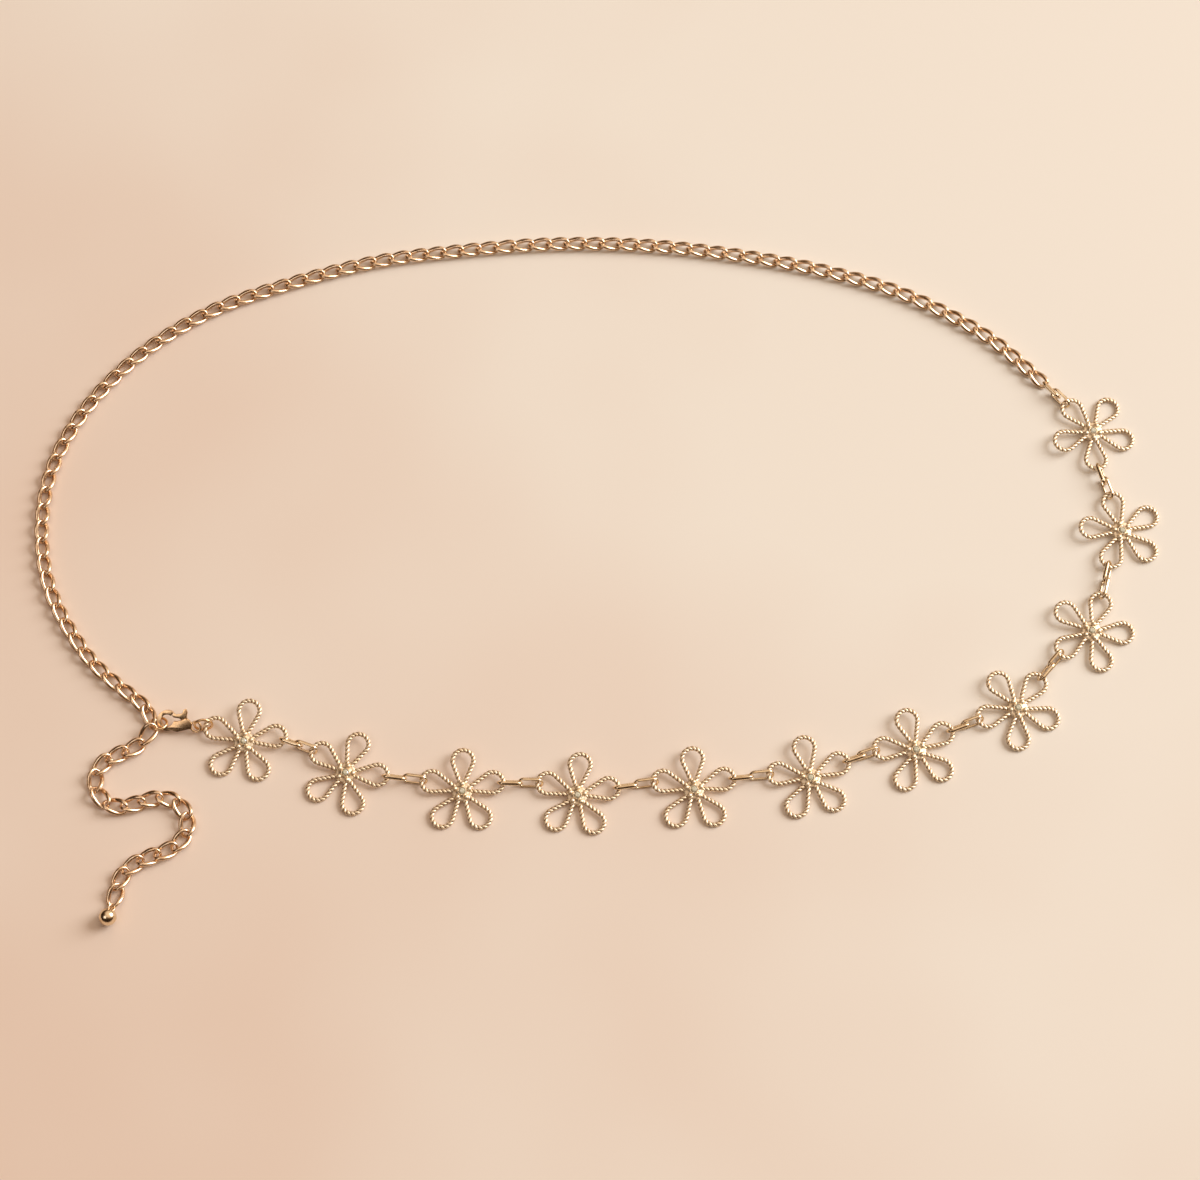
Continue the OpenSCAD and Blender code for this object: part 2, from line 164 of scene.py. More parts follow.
def unit(v):
    """Vectors divided by their own length."""
    return v / np.linalg.norm(v, axis=-1, keepdims=True)


def at_height(xy, z):
    """A point of the table's plane raised to z."""
    return np.append(np.asarray(xy, float), z)


def flower_places():
    """Middle of each flower: each step goes out to the exit tip, along the two taut
    connectors less their slack, and back from the next flower's entry tip."""
    petals = toward(INNER_DIR[:-1] + PETAL_STEP) - toward(INNER_DIR[1:] - PETAL_STEP)
    steps = TIP_AT * petals + (STRAND_TAUT - STRAND_SLACK)[:, None] * toward(STRAND_DIR)
    walk = np.vstack([[0, 0], np.cumsum(steps, 0)])
    return np.array(ROW_ANCHOR) + walk - walk[ANCHOR_FLOWER]


FLOWER_AT = flower_places()
ENTRY_TIP = FLOWER_AT + TIP_AT * toward(INNER_DIR - PETAL_STEP)
EXIT_TIP = FLOWER_AT + TIP_AT * toward(INNER_DIR + PETAL_STEP)
LEAD_START = ENTRY_TIP[0] - (STRAND_TAUT - LEAD_SLACK) * toward(LEAD_DIR)
# a flower leans on the links in its two connecting petals and on its two outer petals
REST_BACK = TIP_AT * np.cos(np.radians(PETAL_STEP / 2)) + TIP_R
LIFT_FRONT = (TIP_AT + TIP_HOLE_R) * np.cos(np.radians(PETAL_STEP))
RIM_BOTTOM = np.full(FLOWERS, OVAL_Z - RIM_H / 2)
RIM_BOTTOM[-1] = RING_WIRE + LAST_LIFT
LEAN = np.degrees(np.arcsin(RIM_BOTTOM / (REST_BACK + LIFT_FRONT)))
JUMP_AT = EXIT_TIP[-1] + (TIP_R - RIM_W / 2 + RING_PAST_RIM) * toward(RING_DIR)
EYE_AT = JUMP_AT + EYE_REACH * toward(EYE_DIR)
JOINT_AT = EYE_AT + JOINT_AHEAD * toward(CLASP_DIR) + JOINT_ASIDE * toward(CLASP_DIR + 90)


def flower_frame(i):
    """A flower's matrix and place: turned to its inner petal, leaning on its connectors."""
    turn = rotation(z=INNER_DIR[i]) @ rotation(y=-LEAN[i])
    return turn, at_height(FLOWER_AT[i], REST_BACK * np.sin(np.radians(LEAN[i])))


def curb_places():
    """Middles and angles of the flat curb links: a Catmull-Rom curve through the route,
    turned and scaled to its true ends, cut in equal steps along its length."""
    start = JOINT_AT + CURB_START
    end = (LEAD_START
           + (TIP_HOLE_R - RIM_PLAY + CURB_PLAY + CURB_WIRE / 2) * toward(LEAD_DIR)
           - CURB_HALF[0] * toward(CURB_END_DIR))
    old, new = CURB_ROUTE[-1] - CURB_ROUTE[0], end - start
    grow = complex(*new) / complex(*old)
    shifted = (CURB_ROUTE - CURB_ROUTE[0]) @ np.array([1, 1j]) * grow
    p = np.stack([shifted.real, shifted.imag], -1) + start
    n = len(p)
    fine = np.linspace(0, n - 1, (n - 1) * CURVE_STEPS + 1)

    def curve(t):
        """Points at these parameters, each by a cubic of its four nearest route points."""
        i = np.minimum(t.astype(int), n - 2)
        u = (t - i)[:, None]
        a, b, c, d = p[np.maximum(i - 1, 0)], p[i], p[i + 1], p[np.minimum(i + 2, n - 1)]
        return (2 * b + (c - a) * u + (2 * a - 5 * b + 4 * c - d) * u ** 2
                + (3 * b - a - 3 * c + d) * u ** 3) / 2

    gaps = np.linalg.norm(np.diff(curve(fine), axis=0), axis=1)
    length = np.append(0, np.cumsum(gaps))
    steps = int(round(length[-1] / CURB_PITCH))
    at = curve(np.interp(np.linspace(0, length[-1], steps + 1), length, fine))
    k = np.arange(steps + 1)
    along = at[np.minimum(k + 1, steps)] - at[np.maximum(k - 1, 0)]
    angle = np.degrees(np.arctan2(along[:, 1], along[:, 0]))
    angle[0] = CURB_START_DIR
    return at, angle


def extender_places():
    """Middles and angles of the flat extender links, step by step along the directions."""
    steps = EXTENDER_PITCH * toward(EXTENDER_DIRS)
    at = JOINT_AT + EXTENDER_START + np.vstack([[0, 0], np.cumsum(steps, 0)])
    before = np.append(EXTENDER_IN_DIR, EXTENDER_DIRS)
    after = np.append(EXTENDER_DIRS, EXTENDER_DIRS[-1])
    return at, (before + after) / 2


def circle_angles(count):
    """Angles of this many equal steps round a circle, the first at 0."""
    return np.arange(count) * 2 * np.pi / count


def ring_faces(stations, sides):
    """Four-cornered faces of a grid that closes on itself both ways."""
    i, j = np.meshgrid(np.arange(stations), np.arange(sides), indexing="ij")
    i2, j2 = (i + 1) % stations, (j + 1) % sides
    return np.stack([i * sides + j, i2 * sides + j, i2 * sides + j2, i * sides + j2],
                    -1).reshape(-1, 4)


def tube(centre, along, out, half_out, half_up, sides):
    """A wire carried along a closed path: each section is an ellipse in the plane of the
    outward and upward directions, so a point is centre + cos(s) out + sin(s) up."""
    up = np.cross(along, out)
    s = circle_angles(sides)
    half_out = np.broadcast_to(half_out, (len(centre), sides))[..., None]
    half_up = np.broadcast_to(half_up, (len(centre), sides))[..., None]
    points = (centre[:, None] + half_out * np.cos(s)[:, None] * out[:, None]
              + half_up * np.sin(s)[:, None] * up[:, None])
    return points.reshape(-1, 3), ring_faces(len(centre), sides)


def revolved(profile, sides):
    """A profile of (radius, height) points turned about Z; both ends close on the axis."""
    profile = np.asarray(profile, float)
    a = circle_angles(sides)
    r, z = profile[:, 0], profile[:, 1]
    points = np.stack([r[:, None] * np.cos(a), r[:, None] * np.sin(a),
                       np.broadcast_to(z[:, None], (len(z), sides))], -1).reshape(-1, 3)
    i, j = np.meshgrid(np.arange(len(r) - 1), np.arange(sides), indexing="ij")
    j2 = (j + 1) % sides
    faces = np.stack([i * sides + j, i * sides + j2, (i + 1) * sides + j2,
                      (i + 1) * sides + j], -1).reshape(-1, 4)
    return points, faces


def sphere(radius, sides=20, rings=12):
    """Round bead as a turned half circle with its two poles closed."""
    a = np.linspace(-np.pi / 2, np.pi / 2, rings + 1)
    return revolved(np.stack([radius * np.cos(a), radius * np.sin(a)], -1), sides)


def placed(part, turn, shift=(0, 0, 0)):
    """A part turned by a matrix about the origin, then shifted."""
    points, faces = part
    return points @ turn.T + np.asarray(shift), faces


def many(part, turns, shifts):
    """One part set down at many places at once: turns (k, 3, 3) and shifts (k, 3)."""
    points, faces = part
    all_points = np.einsum("kij,nj->kni", turns, points) + shifts[:, None]
    offsets = (np.arange(len(turns)) * len(points))[:, None, None]
    return all_points.reshape(-1, 3), (faces[None] + offsets).reshape(-1, 4)


def joined(parts):
    """Several parts as one, their points and faces one after the other."""
    base, points, faces = 0, [], []
    for p, f in parts:
        points.append(p)
        faces.append(f + base)
        base += len(p)
    return np.vstack(points), np.vstack(faces)


def piece(name, part, finish, node, painted_shade=None):
    """Makes a mesh of a part's points, in mm, and its faces, to stand for a CAD node on the
    chain's body. Each point's painted shade, dark in the grooves, goes into the point
    attribute that the cast finish reads."""
    points, faces = part
    mesh = bpy.data.meshes.new(name)
    mesh.vertices.add(len(points))
    mesh.vertices.foreach_set("co", (points * MM).astype(np.float32).ravel())
    mesh.loops.add(faces.size)
    mesh.loops.foreach_set("vertex_index", faces.astype(np.int32).ravel())
    mesh.polygons.add(len(faces))
    mesh.polygons.foreach_set("loop_start", np.arange(0, faces.size, 4, dtype=np.int32))
    mesh.update(calc_edges=True)
    # painted shade: a value for each point, high where shade falls in the grooves
    if painted_shade is not None:
        layer = mesh.attributes.new("painted_shade", "FLOAT", "POINT")
        layer.data.foreach_set("value", np.asarray(painted_shade, np.float32))
    mesh.validate()
    weld_poles(mesh)
    stand_in(name, mesh, finish, node, BODY)


def weld_poles(mesh):
    """Merges the corners that meet in a pole, so faces there have three sides."""
    work = bmesh.new()
    work.from_mesh(mesh)
    bmesh.ops.remove_doubles(work, verts=work.verts, dist=WELD)
    bmesh.ops.recalc_face_normals(work, faces=work.faces)
    work.to_mesh(mesh)
    work.free()


def stand_in(name, mesh, finish, node, body):
    """Shows a mesh, smooth and with its finish, in a CAD node's place and on its body."""
    mesh.polygons.foreach_set("use_smooth", np.full(len(mesh.polygons), True))
    mesh.materials.append(finish)
    obj = bpy.data.objects.new(name, mesh)
    bpy.context.scene.collection.objects.link(obj)
    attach(obj, body)
    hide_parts(node)


def dress(node, finish):
    """Gives a CAD node that is shown as it is a proper finish."""
    obj = NODES[node]
    obj.data.materials.clear()
    obj.data.materials.append(finish)


def link_part(half, wire, fuller, swell):
    """A twisted oval link. Centre line: (a cos t, b sin t, c sin 2t), the curb twist. By
    sin^2 t the wire grows fuller, and is pressed wider by the swell, toward the middle of
    each long side. At its ends, where links meet, and round its outline it stays as the
    solid is."""
    a, b, c = half
    b, c = b - fuller - swell, c - fuller / 2
    t = circle_angles(sizes().link_stations)
    centre = np.stack([a * np.cos(t), b * np.sin(t), c * np.sin(2 * t)], -1)
    along = unit(np.stack([-a * np.sin(t), b * np.cos(t), 2 * c * np.cos(2 * t)], -1))
    out = np.stack([np.cos(t) / a, np.sin(t) / b, 0 * t], -1)
    out = unit(out - (out * along).sum(-1, keepdims=True) * along)
    middle = np.sin(t)[:, None] ** 2
    wide = wire / 2 + (fuller + swell) * middle
    return tube(centre, along, out, wide, wire / 2 + fuller * middle, sizes().wire_sides)


def bend_directions(turn):
    """Outward and forward directions at these angles round a flat bend."""
    out = np.stack([np.cos(turn), np.sin(turn), 0 * turn], -1)
    return out, np.stack([-np.sin(turn), np.cos(turn), 0 * turn], -1)


def oval_part():
    """A connector: a long oval of two straight sides and two half circles, in steps of
    equal length. The upper side is hammered wider out of the oval's plane, by the fourth
    power of how squarely the wire faces up."""
    bend, side = (OVAL_W + OVAL_WIRE) / 2, OVAL_L - OVAL_W
    arc = np.pi * bend
    s = (np.arange(OVAL_STATIONS) + 0.5) / OVAL_STATIONS * 2 * (side + arc)
    lap, u = np.divmod(s, side + arc)
    out, along = bend_directions(
        np.pi * lap - np.pi / 2 + np.clip(u - side / 2, 0, arc) / bend)
    behind = np.clip(u, 0, side / 2) - side / 2 + np.clip(u - side / 2 - arc, 0, None)
    end = np.stack([(side / 2) * (1 - 2 * lap), 0 * s, 0 * s], -1)
    centre = end + bend * out + behind[:, None] * along
    upper = np.clip(out[:, 1], 0, 1)[:, None] ** 4
    half = OVAL_WIRE / 2
    wide = half + sizes().hammered / MM * upper
    return tube(centre, along, out, half, wide, OVAL_SIDES)


def petal_path(count):
    """Middle line of a petal's rim, in equal steps: a straight side from the root, the arc
    round the tip, and the other side back. Gives points, directions, outward, distance."""
    r = TIP_R - RIM_W / 2
    half = np.arcsin(TIP_R / (TIP_AT + ROOT_BACK))
    side = r / np.tan(half)
    arc = (np.pi + 2 * half) * r
    s = (np.arange(count) + 0.5) / count * (2 * side + arc)
    out, along = bend_directions(-np.pi / 2 - half + np.clip(s - side, 0, arc) / r)
    behind = np.where(s < side, s - side, np.where(s > side + arc, s - side - arc, 0))
    return np.array([TIP_AT, 0, 0]) + r * out + behind[:, None] * along, along, out, s


def petal_rim():
    """Twisted rim of two strands. Round the section the radius is less by GROOVE_DEPTH in
    the groove and rises to full on the crown of a strand, with the cosine of the angle
    from that crown to GROOVE_POWER; the twist gains half a turn for each strand seen from
    above. With the rim comes each point's painted shade, 0 on a crown and 1 in a groove,
    where shade falls between the strands."""
    strands, width = sizes().rope_strands, sizes().rope_width / MM
    centre, along, out, s = petal_path(strands * STRAND_STATIONS)
    length = s[-1] + s[0]
    twist = np.pi * strands * s / length
    strand = np.abs(np.cos(circle_angles(RIM_SIDES) - twist[:, None]))
    radius = 1 - GROOVE_DEPTH + GROOVE_DEPTH * strand ** GROOVE_POWER
    centre = centre - (width - RIM_W) / 2 * out + np.array([0, 0, RIM_H / 2])
    part = tube(centre, along, out, width / 2 * radius, RIM_H / 2 * radius, RIM_SIDES)
    # painted shade: full in the groove between the strands, none on a crown
    return part, (1 - strand).ravel()


def flower_parts():
    """One flower in its own frame: five twisted rims, the plate with the stone's seat as
    one turned profile, and five granules."""
    turns = [rotation(z=k * PETAL_STEP) for k in range(PETALS)]
    rim, rim_shade = petal_rim()
    grain = sphere(GRANULE_R)
    parts = [placed(rim, turn) for turn in turns]
    parts += [revolved(PLATE + SEAT, PLATE_SIDES)]
    parts += [placed(grain, turn, turn @ np.array(GRANULE_AT)) for turn in turns]
    # painted shade: the plate, the seat and the granules each take one fixed share of it
    middle_shade = np.repeat([PLATE_SHADE, SEAT_SHADE], [len(PLATE) * PLATE_SIDES,
                                                   len(SEAT) * PLATE_SIDES])
    grain_shade = np.full(PETALS * len(grain[0]), GRANULE_SHADE)
    return joined(parts), np.concatenate([np.tile(rim_shade, PETALS), middle_shade, grain_shade])


def rounded_clasp(name, node, body, layers):
    """The clasp's own solid with its edges rounded as a casting's are: coplanar faces are
    merged, then the sharp edges that lie in the given layers are turned over in steps."""
    normal = Vector(rotation(x=-CLASP_ROLL, z=CLASP_DIR) @ np.array([0, 0, 1.0]))
    middle = Vector(at_height(EYE_AT, CLASP_Z)) * MM
    work = bmesh.new()
    work.from_mesh(NODES[node].data)
    bmesh.ops.remove_doubles(work, verts=work.verts, dist=WELD)
    bmesh.ops.dissolve_limit(work, angle_limit=np.radians(FLAT_BELOW), verts=work.verts,
                             edges=work.edges)
    for depth, radius in layers:
        edges = [e for e in work.edges if e.is_convex
                 and e.calc_face_angle(0.0) > np.radians(SHARP_ABOVE)
                 and all(abs(abs((v.co - middle).dot(normal)) - depth * MM)
                         < LAYER_REACH * MM for v in e.verts)]
        bmesh.ops.bevel(work, geom=edges, offset=radius * MM, segments=BEVEL_STEPS,
                        profile=0.5, affect="EDGES", clamp_overlap=True)
    bmesh.ops.recalc_face_normals(work, faces=work.faces)
    mesh = bpy.data.meshes.new(name)
    work.to_mesh(mesh)
    work.free()
    stand_in(name, mesh, material("polished_pale_gold"), node, body)


def build_chain(name, shape, height, places, first, node):
    """Sets the first link in the joint ring and the rest flat along their route."""
    at, angle = places
    turns = [rotation(*first[1])] + [rotation(z=a) for a in angle]
    shifts = [at_height(JOINT_AT, JOINT_Z) + np.array(first[0])]
    shifts += [at_height(p, height) for p in at]
    piece(name, many(shape, np.array(turns), np.array(shifts)),
          material("polished_rose_gold"), node)


def linear(hex_code):
    """An sRGB hex value as linear red, green and blue with alpha one."""
    c = np.array([int(hex_code[i:i + 2], 16) for i in (1, 3, 5)]) / 255
    c = np.where(c <= 0.04045, c / 12.92, ((c + 0.055) / 1.055) ** 2.4)
    return (*c.tolist(), 1.0)


def add(tree, kind, settings=None, inputs=None, links=None):
    """Adds a node, sets its properties and sockets, and links sockets from others."""
    node = tree.nodes.new(kind)
    for key, value in (settings or {}).items():
        setattr(node, key, value)
    for key, value in (inputs or {}).items():
        node.inputs[key].default_value = value
    for key, (source, socket) in (links or {}).items():
        tree.links.new(source.outputs[socket], node.inputs[key])
    return node


def set_stops(node, stops):
    """Gives a colour ramp its (place, hex) stops."""
    elements = node.color_ramp.elements
    while len(elements) < len(stops):
        elements.new(0.5)
    for element, (place, colour) in zip(elements, stops):
        element.position = place
        element.color = linear(colour)


def new_material(name):
    """An empty material and its node tree."""
    made = bpy.data.materials.new(name)
    made.use_nodes = True
    made.node_tree.nodes.clear()
    return made, made.node_tree


def plated_metal(name, light, mid, rough, painted_shade=None):
    """Polished plating whose tone shifts a little, as thin plating does, with a fine
    tumbling grain. Given a painted shade colour, points with a high painted shade value
    take on that colour as painted shade."""
    made, tree = new_material(name)
    where = add(tree, "ShaderNodeTexCoord")
    broad = add(tree, "ShaderNodeTexNoise", inputs={"Scale": TONE_NOISE, "Detail": 2.0},
                links={"Vector": (where, "Object")})
    fine = add(tree, "ShaderNodeTexNoise", inputs={"Scale": GRAIN_NOISE, "Detail": 3.0},
               links={"Vector": (where, "Object")})
    colour = add(tree, "ShaderNodeValToRGB", links={"Fac": (broad, "Fac")})
    set_stops(colour, ((0.3, mid), (0.7, light)))
    socket = "Color"
    # painted shade: grooves and the flower's middle are darkened toward the shade colour
    if painted_shade:
        depth = add(tree, "ShaderNodeAttribute", {"attribute_name": "painted_shade"})
        share = add(tree, "ShaderNodeMapRange",
                    inputs={"From Min": SHADE_FROM, "From Max": SHADE_TO},
                    links={"Value": (depth, "Fac")})
        # a mix of colours has them in sockets 6 and 7 and gives the result in socket 2
        colour = add(tree, "ShaderNodeMix", {"data_type": "RGBA"}, {7: linear(painted_shade)},
                     {"Factor": (share, "Result"), 6: (colour, "Color")})
        socket = 2
    roughness = add(tree, "ShaderNodeMapRange",
                    inputs={"To Min": rough * ROUGH_LEAST, "To Max": rough * ROUGH_MOST},
                    links={"Value": (fine, "Fac")})
    bump = add(tree, "ShaderNodeBump",
               inputs={"Strength": GRAIN_BUMP, "Distance": GRAIN_DEPTH},
               links={"Height": (fine, "Fac")})
    shader = add(tree, "ShaderNodeBsdfPrincipled", inputs={"Metallic": 1.0},
                 links={"Base Color": (colour, socket), "Roughness": (roughness, "Result"),
                        "Normal": (bump, "Normal")})
    add(tree, "ShaderNodeOutputMaterial", links={"Surface": (shader, "BSDF")})
    return made


def cut_glass(name, light, tint):
    """Clear cut stone: sharp facets, high refraction, with a warm cloudy tint."""
    made, tree = new_material(name)
    where = add(tree, "ShaderNodeTexCoord")
    cloud = add(tree, "ShaderNodeTexNoise", inputs={"Scale": STONE_NOISE},
                links={"Vector": (where, "Object")})
    tone = add(tree, "ShaderNodeValToRGB", links={"Fac": (cloud, "Fac")})
    set_stops(tone, ((0.35, tint), (0.65, light)))
    shader = add(tree, "ShaderNodeBsdfPrincipled",
                 inputs={"IOR": 1.9, "Roughness": 0.03, "Transmission Weight": 0.4},
                 links={"Base Color": (tone, "Color")})
    add(tree, "ShaderNodeOutputMaterial", links={"Surface": (shader, "BSDF")})
    return made


def board_with_wash_and_painted_falloff(name, cream, pink_and_shade):
    """The table's finish: clouds of tint between cream and a pinker tone, and painted shade
    of the light's fall-off, darker and pinker toward the near left corner.
    """
    made, tree = new_material(name)
    where = add(tree, "ShaderNodeTexCoord")
    cloud = add(tree, "ShaderNodeTexNoise", inputs={"Scale": WASH_NOISE, "Detail": 2.0},
                links={"Vector": (where, "Object")})
    # painted shade: the light's fall-off, the table darker and pinker toward the near left
    painted_falloff = add(tree, "ShaderNodeVectorMath", {"operation": "DOT_PRODUCT"}, {1: PAINTED_FALLOFF_SIDE},
                {0: (where, "Object")})
    wash = add(tree, "ShaderNodeMath", {"operation": "MULTIPLY_ADD"},
               {1: WASH_GAIN, 2: WASH_BASE}, {0: (cloud, "Fac")})
    share = add(tree, "ShaderNodeMath", {"operation": "ADD"},
                links={0: (painted_falloff, "Value"), 1: (wash, "Value")})
    tone = add(tree, "ShaderNodeValToRGB", links={"Fac": (share, "Value")})
    set_stops(tone, ((0.0, cream), (1.0, pink_and_shade)))
    shader = add(tree, "ShaderNodeBsdfPrincipled", inputs={"Roughness": 0.75},
                 links={"Base Color": (tone, "Color")})
    add(tree, "ShaderNodeOutputMaterial", links={"Surface": (shader, "BSDF")})
    return made


def small_length(name, description, default):
    """A setting that holds one length; the default is in mm."""
    return bpy.props.FloatProperty(name=name, description=description, default=default * MM,
                                   min=0.0, max=2 * MM, unit="LENGTH", precision=5)


def hex_colour(name, default):
    """A setting that holds one sRGB hex colour."""
    return bpy.props.StringProperty(name=name, description="sRGB hex", default=default)


class WaistChainSizes(bpy.types.PropertyGroup):
    """Sizes of the looks, and how finely a link is drawn"""
    rope_width: small_length(
        "Rope width", "Width of the twisted rope round a petal", 1.42)
    rope_strands: bpy.props.IntProperty(
        name="Rope strands", description="Strands seen round a petal", default=22, min=10,
        max=40)
    hammered: small_length(
        "Hammered side", "How much wider a connector's upper side is, on each face", 0.24)
    curb_swell: small_length(
        "Curb swell", "How much wider a curb link's wire is pressed, on each side", 0.16)
    extender_swell: small_length(
        "Extender swell", "How much wider an extender link's wire is pressed", 0.2)
    link_stations: bpy.props.IntProperty(
        name="Link stations", description="Steps round a chain link", default=32, min=12,
        max=96)
    wire_sides: bpy.props.IntProperty(
        name="Wire sides", description="Sides of a link's wire", default=10, min=6, max=24)


class WaistChainColours(bpy.types.PropertyGroup):
    """Colours of the finishes and of the table"""
    gold_light: hex_colour("Flower gold, light", "#FCECD0")
    gold_mid: hex_colour("Flower gold", "#F4DCB8")
    # colour of the painted shade that darkens the flowers' grooves and middles
    gold_painted_shade: hex_colour("Flower gold, in the grooves", "#7C4E2A")
    rose_light: hex_colour("Chain gold, light", "#F4DABA")
    rose_mid: hex_colour("Chain gold", "#E2BE98")
    pale_light: hex_colour("Clasp and ring gold, light", "#F3D2A6")
    pale_mid: hex_colour("Clasp and ring gold", "#E0BA8C")
    champagne_light: hex_colour("Connector and ball gold, light", "#F6E2C2")
    champagne_mid: hex_colour("Connector and ball gold", "#DCC09A")
    stone_light: hex_colour("Stone, light", "#FBF4DC")
    stone_tint: hex_colour("Stone, tint", "#EDE6C4")
    floor: hex_colour("Floor", "#F2E9DB")
    # the table's darker, pinker end, reached by its random clouds and by the painted shade
    # of the light's fall-off toward the near left
    floor_pink_and_shade: hex_colour("Floor, near left", "#E4C9B4")


def sizes():
    """The scene's sizes, as set in the panel."""
    return bpy.context.scene.waist_chain_sizes


def colours():
    """The scene's colours, as set in the panel."""
    return bpy.context.scene.waist_chain_colours


def material(name):
    """One of the part's five finishes, made when it is first asked for. All its metal is
    brass with a thin plating; the ways of working it differ."""
    found = bpy.data.materials.get(name)
    if found:
        return found
    c = colours()
    if name == "clear_cut_stone":
        return cut_glass(name, c.stone_light, c.stone_tint)
    metals = {
        # cast and tumbled flowers: a soft sheen on the strands, brown painted shade in the
        # grooves
        "cast_plated_gold": (c.gold_light, c.gold_mid, 0.46, c.gold_painted_shade),
        # machine-made chain of drawn wire: bright lines along warm, darker links
        "polished_rose_gold": (c.rose_light, c.rose_mid, 0.24),
        # clasp and rings: yellower, with clear highlights on their rounded edges
        "polished_pale_gold": (c.pale_light, c.pale_mid, 0.24),
        # connectors and ball, polished most: the glinting bars between the flowers
        "polished_champagne_gold": (c.champagne_light, c.champagne_mid, 0.2),
    }
    return plated_metal(name, *metals[name])


class WAISTCHAIN_OT_flowers(bpy.types.Operator):
    """Make the eleven flowers with their twisted rims"""
    bl_idname = "waistchain.flowers"
    bl_label = "Flowers"

    def execute(self, context):
        # each point's painted shade comes with the flower's shape
        part, painted_shade = flower_parts()
        for i in range(FLOWERS):
            piece(f"beaded_flower_{i + 1:02d}", placed(part, *flower_frame(i)),
                  material("cast_plated_gold"), f"flower_{i + 1:02d}", painted_shade)
        return {"FINISHED"}


class WAISTCHAIN_OT_stones(bpy.types.Operator):
    """Give the stones their clear cut finish"""
    bl_idname = "waistchain.stones"
    bl_label = "Stones"

    def execute(self, context):
        for i in range(FLOWERS):
            dress(f"stone_{i + 1:02d}", material("clear_cut_stone"))
        return {"FINISHED"}


class WAISTCHAIN_OT_chains(bpy.types.Operator):
    """Make the curb chain and the extender chain"""
    bl_idname = "waistchain.chains"
    bl_label = "Chains"

    def execute(self, context):
        build_chain("twisted_curb_chain",
                    link_part(CURB_HALF, CURB_WIRE, CURB_FULLER,
                              sizes().curb_swell / MM),
                    CURB_HALF[2] + CURB_WIRE / 2, curb_places(), CURB_FIRST, "curb_chain")
        build_chain("twisted_extender_chain",
                    link_part(EXTENDER_HALF, EXTENDER_WIRE, EXTENDER_FULLER,
                              sizes().extender_swell / MM),
                    EXTENDER_HALF[2] + EXTENDER_WIRE / 2, extender_places(),
                    EXTENDER_FIRST, "extender_chain")
        return {"FINISHED"}


class WAISTCHAIN_OT_connectors(bpy.types.Operator):
    """Make the pairs of oval connectors"""
    bl_idname = "waistchain.connectors"
    bl_label = "Connectors"

    def execute(self, context):
        shape = oval_part()
        starts = np.vstack([LEAD_START, EXIT_TIP[:-1]])
        reach = TIP_HOLE_R - RIM_PLAY + OVAL_L / 2
        number = 0
        for start, end, way in zip(starts, ENTRY_TIP, [LEAD_DIR, *STRAND_DIR]):
            for tip, angle in ((start, way), (end, way + 180)):
                number += 1
                turn = rotation(x=180 - OVAL_SLOPE, z=angle)
                place = at_height(tip + reach * toward(angle), OVAL_Z)
                piece(f"oval_connector_{number:02d}", placed(shape, turn, place),
                      material("polished_champagne_gold"), f"connector_{number:02d}")
        return {"FINISHED"}


class WAISTCHAIN_OT_findings(bpy.types.Operator):
    """Make the clasp, and give the rings and the ball their finish"""
    bl_idname = "waistchain.findings"
    bl_label = "Clasp, rings and ball"

    def execute(self, context):
        dress("end_ball", material("polished_champagne_gold"))
        rounded_clasp("rounded_clasp_body", "clasp_body", BODY, BODY_EDGES)
        rounded_clasp("rounded_clasp_lever", "clasp_lever", LEVER, LEVER_EDGES)
        for name in ("jump_ring", "joint_ring"):
            dress(name, material("polished_pale_gold"))
        return {"FINISHED"}


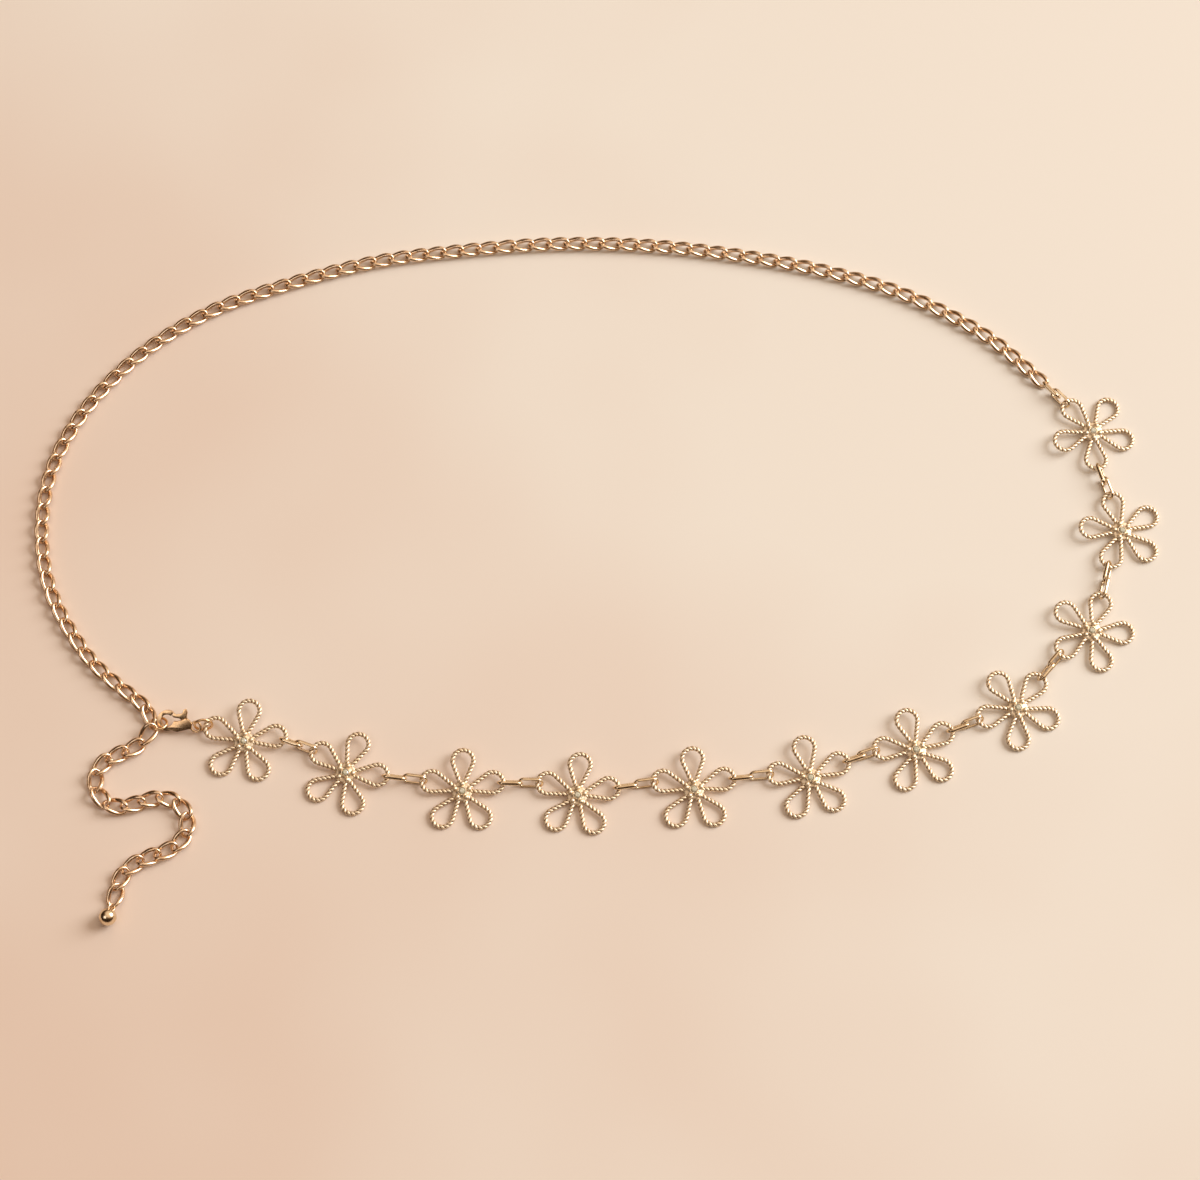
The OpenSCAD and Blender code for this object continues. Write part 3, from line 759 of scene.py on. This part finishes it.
class WAISTCHAIN_OT_stage(bpy.types.Operator):
    """Set up the pale table, the soft light from the right and the camera"""
    bl_idname = "waistchain.stage"
    bl_label = "Stage"

    def execute(self, context):
        self.set_table(context.scene)
        for lamp in LIGHTS:
            self.set_light(context.scene, *lamp)
        self.set_surroundings(context.scene)
        self.set_camera(context.scene)
        context.scene.view_settings.view_transform = "Standard"
        return {"FINISHED"}

    def set_table(self, scene):
        """Lays a square board under the part."""
        mesh = bpy.data.meshes.new("table_top")
        corners = [(x * TABLE_HALF, y * TABLE_HALF, 0)
                   for x, y in ((-1, -1), (1, -1), (1, 1), (-1, 1))]
        mesh.from_pydata(corners, [], [(0, 1, 2, 3)])
        c = colours()
        mesh.materials.append(board_with_wash_and_painted_falloff("backdrop_board_with_wash_and_painted_falloff", c.floor, c.floor_pink_and_shade))
        table = bpy.data.objects.new("table_top", mesh)
        scene.collection.objects.link(table)

    def set_light(self, scene, name, place, width, power, colour):
        """Hangs a round soft light that faces the part."""
        data = bpy.data.lights.new(name, "AREA")
        data.shape = "DISK"
        data.size = width
        data.energy = power
        data.color = linear(colour)[:3]
        lamp = bpy.data.objects.new(name, data)
        scene.collection.objects.link(lamp)
        lamp.location = place
        lamp.rotation_euler = (-Vector(place)).to_track_quat("-Z", "Y").to_euler()

    def set_surroundings(self, scene):
        """Colours the surroundings along one direction, for what the metal reflects."""
        scene.world = scene.world or bpy.data.worlds.new("studio")
        scene.world.use_nodes = True
        tree = scene.world.node_tree
        tree.nodes.clear()
        way = add(tree, "ShaderNodeTexCoord")
        side = add(tree, "ShaderNodeVectorMath", {"operation": "DOT_PRODUCT"},
                   {1: SKY_SIDE}, {0: (way, "Generated")})
        sky = add(tree, "ShaderNodeValToRGB", links={"Fac": (side, "Value")})
        set_stops(sky, SKY)
        glow = add(tree, "ShaderNodeBackground", inputs={"Strength": SKY_STRENGTH},
                   links={"Color": (sky, "Color")})
        add(tree, "ShaderNodeOutputWorld", links={"Surface": (glow, "Background")})

    def set_camera(self, scene):
        """Sets the camera back from its aim, toward the near side and up."""
        camera = bpy.data.cameras.new("camera")
        camera.sensor_width = SENSOR
        camera.lens = SENSOR * VIEW_FOCAL
        camera.clip_start = VIEW_NEAR
        view = bpy.data.objects.new("camera", camera)
        scene.collection.objects.link(view)
        scene.camera = view
        rise = np.radians(VIEW_RISE)
        back = VIEW_DISTANCE * np.array([0, -np.cos(rise), np.sin(rise)])
        view.location = np.array(VIEW_AIM) + back
        view.rotation_euler = (np.pi / 2 - rise, 0, 0)


class WAISTCHAIN_PT_panel(bpy.types.Panel):
    """Lists the settings and the pieces of the waist chain"""
    bl_idname = "WAISTCHAIN_PT_panel"
    bl_label = "Waist chain"
    bl_space_type = "VIEW_3D"
    bl_region_type = "UI"
    bl_category = "Waist chain"

    def draw(self, context):
        layout = self.layout
        for group in (sizes(), colours()):
            box = layout.box()
            for key in group.__annotations__:
                box.prop(group, key)
        for operator in OPERATORS:
            layout.operator(operator.bl_idname)


OPERATORS = (WAISTCHAIN_OT_flowers, WAISTCHAIN_OT_stones, WAISTCHAIN_OT_chains,
             WAISTCHAIN_OT_connectors, WAISTCHAIN_OT_findings, WAISTCHAIN_OT_stage)
CLASSES = (WaistChainSizes, WaistChainColours, *OPERATORS, WAISTCHAIN_PT_panel)


def register():
    for c in CLASSES:
        bpy.utils.register_class(c)
    bpy.types.Scene.waist_chain_sizes = bpy.props.PointerProperty(type=WaistChainSizes)
    bpy.types.Scene.waist_chain_colours = bpy.props.PointerProperty(type=WaistChainColours)


def unregister():
    del bpy.types.Scene.waist_chain_colours
    del bpy.types.Scene.waist_chain_sizes
    for c in reversed(CLASSES):
        bpy.utils.unregister_class(c)


def main():
    register()
    bpy.ops.waistchain.flowers()
    bpy.ops.waistchain.stones()
    bpy.ops.waistchain.chains()
    bpy.ops.waistchain.connectors()
    bpy.ops.waistchain.findings()
    bpy.ops.waistchain.stage()


if __name__ == "__main__":
    main()
